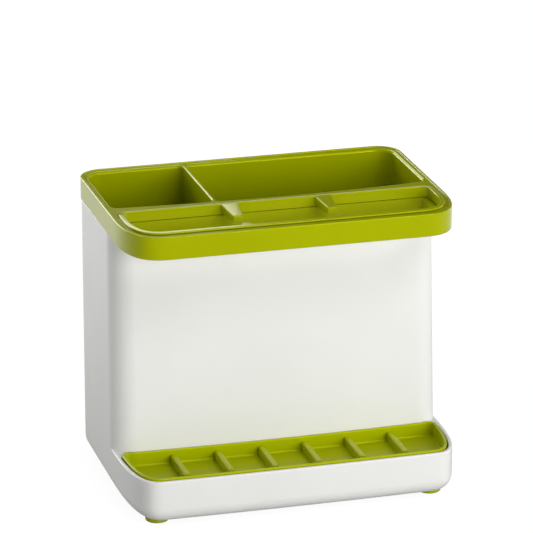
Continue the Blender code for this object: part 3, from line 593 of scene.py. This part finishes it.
def makeOrganiser():
    mesh = bmesh.new()
    size = organiserSizes
    fit = insertSizes["fit"]
    rim = rimOutline()

    # band, top edge, border and the step down to the deck
    under = quarterRound(size["underRound"], size["underSteps"])
    over = reversed(quarterRound(size["edgeRound"], size["edgeSteps"]))
    profile = [(edge, bandZ + height) for edge, height in under]
    profile += [(edge, topHigh.z - drop) for edge, drop in over]
    band = [ring(mesh, offsetLoop(rim, edge), z) for edge, z in profile]
    for edge, drop in quarterRound(size["stepRound"], size["borderSteps"]):
        band.append(ring(mesh, borderOutline(-edge), topHigh.z - drop))
    band.append(ring(mesh, borderOutline(), deckZ))
    bridgeAll(mesh, band)

    # opening for the insert, the ledge below it and the well
    slot = slotOutline()
    seat = offsetLoop(slot, -insertSizes["wall"] - fit)
    ledge = insertLow.z - fit
    well = slotOutline(size["endLedge"], size["sideLedge"])
    levels = [(seat, deckZ), (seat, ledge)]
    levels += [(offsetLoop(well, -fit), ledge), (well, ledge - fit), (well, bandZ)]
    slotRings = [ring(mesh, plan, z) for plan, z in levels]
    bridgeAll(mesh, slotRings)

    # cups, inside
    mouths = []
    floors = []
    floorZ = deckZ - size["cupDepth"]
    for left, right in cupSides():
        plan = cupOutline(left, right)
        rings = []
        for edge, drop in quarterRound(size["cupRound"], size["mouthSteps"]):
            rings.append(ring(mesh, mouthLoop(left, right, edge), deckZ - drop))
        for edge, height in reversed(quarterRound(size["bottomRound"])):
            rings.append(ring(mesh, offsetLoop(plan, edge), floorZ + height))
        bridgeAll(mesh, rings)
        mouths.append(rings[0])
        floors.append(rings[-1])
    fillFlat(mesh, band[-1], slotRings[0], *mouths)

    # underside: the hollow round the front of the well, and the outside of the cups
    skirt = offsetLoop(rim, size["skirt"])
    outerWell = offsetLoop(slot, -insertSizes["wall"] - fit - size["wellWall"])
    count = 2 * (planSizes["rimSteps"] + 1) + planSizes["frontSteps"] - 1  # points before the back
    groove = skirt[:count] + outerWell[count - 1::-1]
    grooveRings = [ring(mesh, groove, bandZ), ring(mesh, groove, deckZ - size["deck"])]
    bridgeAll(mesh, grooveRings)
    fillFlat(mesh, grooveRings[1])
    around = offsetLoop(cupOutline(-size["cupHalf"], size["cupHalf"]), -size["cupWall"])
    underZ = floorZ - size["cupFloor"]
    outside = [ring(mesh, around, bandZ)]
    for edge, height in reversed(quarterRound(size["bottomRound"] + size["cupWall"])):
        outside.append(ring(mesh, offsetLoop(around, edge), underZ + height))
    bridgeAll(mesh, outside)
    fillFlat(mesh, band[0], slotRings[-1], grooveRings[0], outside[0])

    # cup floors with their drain holes
    outlets = []
    flare = size["drainFlare"]
    hole = [(size["drain"] + flare, floorZ), (size["drain"], floorZ - flare), (size["drain"], underZ)]
    for (left, right), floor in zip(cupSides(), floors):
        inlets = []
        for x, y in drainPlaces(left, right):
            rings = [ring(mesh, disc(x, y, radius, size["drainSides"]), z) for radius, z in hole]
            bridgeAll(mesh, rings)
            inlets.append(rings[0])
            outlets.append(rings[-1])
        fillFlat(mesh, floor, *inlets)
    fillFlat(mesh, outside[-1], *outlets)
    piece = meshObject(mesh, "organiserShell")
    dress(piece, glossGreen, "organiser", "organiser_top")


# slot insert: ring with two tapered tabs and two bumps

def roundedBar(mesh, sections, steps):
    # closed bar through sections (y, left, right, bottom, top, radius)
    rings = []
    for y, left, right, bottom, top, radius in sections:
        places = []
        for x, z, first in ((right - radius, top - radius, 0), (left + radius, top - radius, 1),
                            (left + radius, bottom + radius, 2), (right - radius, bottom + radius, 3)):
            for angle in spaced(first * math.pi / 2, (first + 1) * math.pi / 2, steps):
                places.append((x + radius * math.cos(angle), y, z + radius * math.sin(angle)))
        rings.append([mesh.verts.new(place) for place in places])
    bridgeAll(mesh, rings)
    fillFlat(mesh, rings[0])
    fillFlat(mesh, rings[-1])


def makeInsert():
    mesh = bmesh.new()
    size = insertSizes
    top = insertHigh.z
    lipZ = deckZ + size["fit"]
    inner = reversed(quarterRound(size["mouthRound"], size["mouthSteps"]))
    outer = quarterRound(size["lipRound"], size["lipSteps"])
    profile = [(0, insertLow.z)]
    profile += [(edge, top - drop) for edge, drop in inner]
    for share in size["crownShares"]:
        across = size["mouthRound"] + (size["lip"] - size["mouthRound"] - size["lipRound"]) * share
        profile.append((across, top - size["crown"] * share ** size["crownPower"]))
    profile += [(size["lip"] - edge, top - size["crown"] - drop) for edge, drop in outer]
    profile += [(size["lip"], lipZ), (size["wall"], lipZ), (size["wall"], insertLow.z)]
    slot = slotOutline()
    rings = [ring(mesh, offsetLoop(slot, -out), z) for out, z in profile]
    bridgeAll(mesh, rings + [rings[0]])
    piece = meshObject(mesh, "insertRing")
    for x in (-size["tabSpacing"] / 2, size["tabSpacing"] / 2):
        uniteWith(piece, makeTab(x))
        uniteWith(piece, makeBump(x))
    dress(piece, glossGreen, "insert", "slot_insert")


def makeTab(x):
    mesh = bmesh.new()
    size = insertSizes
    root = slotBack + size["wall"] / 2
    tip = slotBack - size["tabLength"]
    radius = size["tabRound"]
    tipRound = quarterRound(radius * size["tabTipShare"], size["tabSteps"])
    sections = [(tip + back, pull) for pull, back in tipRound]
    sections.append((root, 0))
    bars = []
    for y, pull in sections:
        share = (y - tip) / (root - tip)
        half = (size["tabTip"] + (size["tabRoot"] - size["tabTip"]) * share) / 2 - pull
        high = insertHigh.z - size["tabTipDrop"] + (size["tabTipDrop"] - size["tabRootDrop"]) * share
        height = size["tabTipHeight"] + (size["tabRootHeight"] - size["tabTipHeight"]) * share
        corner = max(radius - pull, size["tabCorner"])
        bars.append((y, x - half, x + half, high - height + pull, high - pull, corner))
    roundedBar(mesh, bars, size["barSteps"])
    return meshObject(mesh, "tab")


def makeBump(x):
    mesh = bmesh.new()
    size = insertSizes
    y = slotFront - size["wall"] / 2
    reach = (size["bumpWidth"] / 2, size["bumpReach"] + size["wall"] / 2, size["bumpPower"])
    left = cornerRun(0, y, -1, 1, reach, size["bumpSteps"])
    plan = [(x - px, py) for px, py in left[:-1]] + [(x + px, py) for px, py in left[::-1]]
    top = insertHigh.z - size["bumpDrop"]
    rings = [ring(mesh, plan, top - size["bumpHeight"])]
    for inward, drop in reversed(quarterRound(size["bumpRound"], size["bumpEdgeSteps"])):
        shrinkX = 1 - inward / reach[0]
        shrinkY = 1 - inward / reach[1]
        smaller = [(x + (px - x) * shrinkX, y + (py - y) * shrinkY) for px, py in plan]
        rings.append(ring(mesh, smaller, top - drop))
    bridgeAll(mesh, rings)
    for vert in mesh.verts:  # the bump rises towards its tip
        vert.co.z += size["bumpRise"] * (vert.co.y - y) / reach[1]
    fillFlat(mesh, rings[0])
    fillFlat(mesh, rings[-1])
    return meshObject(mesh, "bump")


# drip tray with level ribs

traySizes = {
    "gap": 0.8 * mm, "backGap": 0.4 * mm, "wall": 1.7 * mm, "depth": 8.3 * mm, "lipRound": 0.7 * mm,
    "floorRound": 1.4 * mm, "underRound": 2 * mm, "backRadius": 5 * mm,
    "ribCount": 6, "ribPitch": 25.4 * mm, "ribShift": 1.2 * mm, "ribThick": 3.8 * mm,
    "ribDrop": 2.8 * mm, "ribLength": 30.8 * mm, "ribRound": 1.1 * mm, "ribTipShare": 0.7,
    "cornerSteps": 14, "hugSteps": 10, "floorSteps": 5,
}


def trayCorner():
    # centres of the bin's and the tray's right corners, and the angle between them
    half, front = binSize(shelfZ)
    full = bodySizes["frontRadius"]
    apart = full + traySizes["backGap"] + traySizes["backRadius"]
    x = half - bodySizes["wall"] - traySizes["gap"] - traySizes["backRadius"]
    meet = math.acos((x - half + full) / apart)
    return half - full, front + full, x, front + full - apart * math.sin(meet), meet


def trayBack(inward):
    # own round corners, then a curve that follows the bin's corners and front
    half = binSize(shelfZ)[0]
    binX, binY, x, y, meet = trayCorner()
    hug = bodySizes["frontRadius"] + traySizes["backGap"]
    own = traySizes["backRadius"]
    right = []
    for angle in spaced(0, math.pi - meet, traySizes["cornerSteps"]):
        right.append((x + (own - inward) * math.cos(angle), y + (own - inward) * math.sin(angle)))
    for angle in spaced(meet, math.pi / 2, traySizes["hugSteps"])[1:]:
        right.append((binX + (hug + inward) * math.cos(angle), binY - (hug + inward) * math.sin(angle)))
    endX, endY = right[-1]
    middle = [(px, endY) for px in spaced(endX, -endX, planSizes["frontSteps"])[1:-1]]
    return bowed(right + middle + mirrored(right), bodySizes["bow"], half)


def trayOutline(inward=0):
    gap = bodySizes["wall"] + traySizes["gap"]
    startX, startY = trayBack(0)[0]
    skip = sum(1 for x, y in shelfRun(gap) if x < 0 and y > startY - mm)  # points behind the corner
    front = shelfRun(gap + inward)
    return front[skip:len(front) - skip] + trayBack(inward)


def makeTray():
    mesh = bmesh.new()
    size = traySizes
    floorZ = trayHigh.z - size["depth"]
    inner = reversed(quarterRound(size["floorRound"], size["floorSteps"]))
    profile = [(edge, trayLow.z + height) for edge, height in quarterRound(size["underRound"])]
    lip = [(edge, trayHigh.z - drop) for edge, drop in reversed(quarterRound(size["lipRound"]))]
    profile += lip + [(size["wall"] - edge, z) for edge, z in reversed(lip)]
    profile += [(size["wall"] + edge, floorZ + height) for edge, height in inner]
    rings = [ring(mesh, trayOutline(inward), z) for inward, z in profile]
    bridgeAll(mesh, rings)
    fillFlat(mesh, rings[0])
    fillFlat(mesh, rings[-1])
    piece = meshObject(mesh, "trayPan")
    half, front = binSize(shelfZ)
    for i in range(size["ribCount"]):
        x = (i - (size["ribCount"] - 1) / 2) * size["ribPitch"] + size["ribShift"]
        wallY = front - size["backGap"] - bodySizes["bow"] * (1 - (x / half) ** 2)
        uniteWith(piece, makeRib(x, wallY, floorZ))
    dress(piece, satinGreen, "tray", "drip_tray")


def makeRib(x, wallY, floorZ):
    # level bar from the back wall, round along its top edges and its tip
    mesh = bmesh.new()
    size = traySizes
    thick = size["ribThick"] / 2
    radius = size["ribRound"]
    top = trayHigh.z - size["ribDrop"]
    tip = wallY - size["wall"] - size["ribLength"]
    back = wallY - size["wall"] / 2
    outline = [(thick, floorZ - size["wall"] / 2)]
    outline += [(thick - edge, top - drop) for edge, drop in reversed(quarterRound(radius))]
    rings = []
    for pull, ahead in quarterRound(radius) + [(0, back - tip)]:
        shrink = (thick - pull) / thick
        lower = radius * (1 - math.sqrt(1 - (pull / radius) ** 2)) * size["ribTipShare"]
        right = []
        for across, z in reversed(outline):
            right.append((x + across * shrink, z - lower if z > floorZ else z))
        left = [(2 * x - px, z) for px, z in reversed(right)]
        rings.append([mesh.verts.new((px, tip + ahead, z)) for px, z in left + right])
    bridgeAll(mesh, rings)
    fillFlat(mesh, rings[0])
    fillFlat(mesh, rings[-1])
    return meshObject(mesh, "rib")


# rubber feet: turned discs with a soft edge and a dished sole

footSizes = {"edge": 0.9 * mm, "dish": 0.3 * mm, "dishRun": 2, "land": 1.6 * mm, "sides": 48}


def makeFoot(node):
    mesh = bmesh.new()
    low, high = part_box(node)
    x = (low.x + high.x) / 2
    y = (low.y + high.y) / 2
    radius = (high.x - low.x) / 2
    size = footSizes
    sole = radius - size["edge"] - size["land"]
    profile = [(sole - size["dish"] * size["dishRun"], low.z + size["dish"]), (sole, low.z)]
    profile += [(radius - edge, low.z + height) for edge, height in quarterRound(size["edge"])]
    profile += [(radius, high.z - size["dish"]), (radius - size["dish"], high.z)]
    rings = [ring(mesh, disc(x, y, reach, size["sides"]), z) for reach, z in profile]
    bridgeAll(mesh, rings)
    fillFlat(mesh, rings[0])
    fillFlat(mesh, rings[-1])
    foot, row, side = node.split("_")
    piece = meshObject(mesh, foot + row.capitalize() + side.capitalize())
    dress(piece, limeRubber, "bin", node)


makeBody()
makeOrganiser()
makeInsert()
makeTray()
for footNode in ("foot_front_left", "foot_front_right", "foot_back_left", "foot_back_right"):
    makeFoot(footNode)
print("pieces ready")


# floor, lights and camera

studio = {
    "floorHalf": 4, "floorColour": (0.5, 0.5, 0.5), "floorShade": (0.12, 0.12, 0.12), "floorGlow": 0.93,
    # the first two ranges on the next line give the floor's gloss glow its painted shade, dim near the
    # object
    "paintedShadeReach": (0.12, 0.5), "paperGlowWithPaintedShade": (0.2, 1.05), "worldLight": 0.02, "worldSeen": 0.95,
    "white": (1, 1, 1, 1), "aim": (0, 0, 0.08),
    "cameraAt": (-0.53904, -1.90524, 0.80379), "pitch": 71.04, "yaw": -15.76,
    "lens": 251.3, "sensor": 36, "seesTo": 20,
}
lamps = [  # metres and watts; each one points at the studio's aim
    {"name": "front panel", "at": (0.28, -1.58, 0.4), "size": (1, 0.7), "watts": 9},
    {"name": "right panel", "at": (0.8, -1.39, 0.4), "size": (1, 0.7), "watts": 10.5},
    {"name": "high panel", "at": (0.45, -1.1, 1.3), "size": (1, 0.7), "watts": 8},
    {"name": "left panel", "at": (-1.6, 0, 0.4), "size": (1, 0.7), "watts": 5},
    {"name": "left back panel", "at": (-0.85, 1.36, 0.4), "size": (1, 0.7), "watts": 13},
    {"name": "far right panel", "at": (1.6, 0.35, 0.4), "size": (1, 0.7), "watts": 4.5},
    {"name": "top panel", "at": (0.05, -0.1, 1.8), "size": (0.4, 0.4), "watts": 2.8},
    {"name": "back panel", "at": (-0.028, 1.38, 1.145), "size": (0.92, 0.82), "watts": 8.6},
    {"name": "low back panel", "at": (0.7, 2.6, 0.34), "size": (3.2, 0.5), "watts": 5.5},
]


def makeFloor():
    # the camera sees an evenly bright floor with a faint shadow, and gloss sees a painted glow of pale
    # paper with painted shade that dims it close to the object; all other light meets a plain matt floor
    mesh = bmesh.new()
    half = studio["floorHalf"]
    mesh.faces.new(ring(mesh, [(-half, -half), (half, -half), (half, half), (-half, half)], 0))
    floor = meshObject(mesh, "floor")
    material = bpy.data.materials.new("pale floor")
    material.use_nodes = True
    nodes = material.node_tree.nodes
    links = material.node_tree.links
    nodes.clear()
    output = nodeOf(material, "ShaderNodeOutputMaterial")
    path = nodeOf(material, "ShaderNodeLightPath")

    matt = nodeOf(material, "ShaderNodeBsdfDiffuse")
    matt.inputs["Color"].default_value = (*studio["floorColour"], 1)
    where = nodeOf(material, "ShaderNodeTexCoord")
    away = nodeOf(material, "ShaderNodeVectorMath", operation="LENGTH")
    # painted reflection with painted shade: gloss sees the floor glow, dimmer close to the object
    glowWithPaintedShade = nodeOf(material, "ShaderNodeEmission")
    links.new(where.outputs["Object"], away.inputs[0])
    paintedShadeStrength = rangeOf(material, away.outputs["Value"], studio["paintedShadeReach"], studio["paperGlowWithPaintedShade"])
    links.new(paintedShadeStrength, glowWithPaintedShade.inputs["Strength"])
    unseen = nodeOf(material, "ShaderNodeMixShader")
    links.new(path.outputs["Is Glossy Ray"], unseen.inputs["Fac"])
    links.new(matt.outputs["BSDF"], unseen.inputs[1])
    links.new(glowWithPaintedShade.outputs["Emission"], unseen.inputs[2])

    shade = nodeOf(material, "ShaderNodeBsdfDiffuse")
    shade.inputs["Color"].default_value = (*studio["floorShade"], 1)
    glow = nodeOf(material, "ShaderNodeEmission")
    glow.inputs["Strength"].default_value = studio["floorGlow"]
    seen = nodeOf(material, "ShaderNodeAddShader")
    links.new(shade.outputs["BSDF"], seen.inputs[0])
    links.new(glow.outputs["Emission"], seen.inputs[1])

    mix = nodeOf(material, "ShaderNodeMixShader")
    links.new(path.outputs["Is Camera Ray"], mix.inputs["Fac"])
    links.new(unseen.outputs["Shader"], mix.inputs[1])
    links.new(seen.outputs["Shader"], mix.inputs[2])
    links.new(mix.outputs["Shader"], output.inputs["Surface"])
    floor.data.materials.append(material)


def makeLights():
    for lamp in lamps:
        data = bpy.data.lights.new(lamp["name"], "AREA")
        data.shape = "RECTANGLE"
        data.size, data.size_y = lamp["size"]
        data.energy = lamp["watts"]
        light = bpy.data.objects.new(lamp["name"], data)
        light.location = lamp["at"]
        aim = Vector(studio["aim"]) - Vector(lamp["at"])
        light.rotation_euler = aim.to_track_quat("-Z", "Y").to_euler()
        light.visible_camera = False
        bpy.context.scene.collection.objects.link(light)


def makeWorld():
    # faint light for the object, and a white ground for the camera
    world = bpy.data.worlds.new("studio")
    world.use_nodes = True
    nodes = world.node_tree.nodes
    links = world.node_tree.links
    dim = nodes["Background"]
    dim.inputs["Color"].default_value = studio["white"]
    dim.inputs["Strength"].default_value = studio["worldLight"]
    seen = nodes.new("ShaderNodeBackground")
    seen.inputs["Color"].default_value = studio["white"]
    seen.inputs["Strength"].default_value = studio["worldSeen"]
    path = nodes.new("ShaderNodeLightPath")
    mix = nodes.new("ShaderNodeMixShader")
    links.new(path.outputs["Is Camera Ray"], mix.inputs["Fac"])
    links.new(dim.outputs["Background"], mix.inputs[1])
    links.new(seen.outputs["Background"], mix.inputs[2])
    links.new(mix.outputs["Shader"], nodes["World Output"].inputs["Surface"])
    bpy.context.scene.world = world


def makeCamera():
    data = bpy.data.cameras.new("camera")
    data.lens = studio["lens"]
    data.sensor_width = studio["sensor"]
    data.clip_end = studio["seesTo"]
    camera = bpy.data.objects.new("camera", data)
    camera.location = studio["cameraAt"]
    camera.rotation_euler = (math.radians(studio["pitch"]), 0, math.radians(studio["yaw"]))
    bpy.context.scene.collection.objects.link(camera)
    bpy.context.scene.camera = camera
    bpy.context.scene.view_settings.view_transform = "Standard"  # plain colours


makeFloor()
makeLights()
makeWorld()
makeCamera()
print("stage ready")
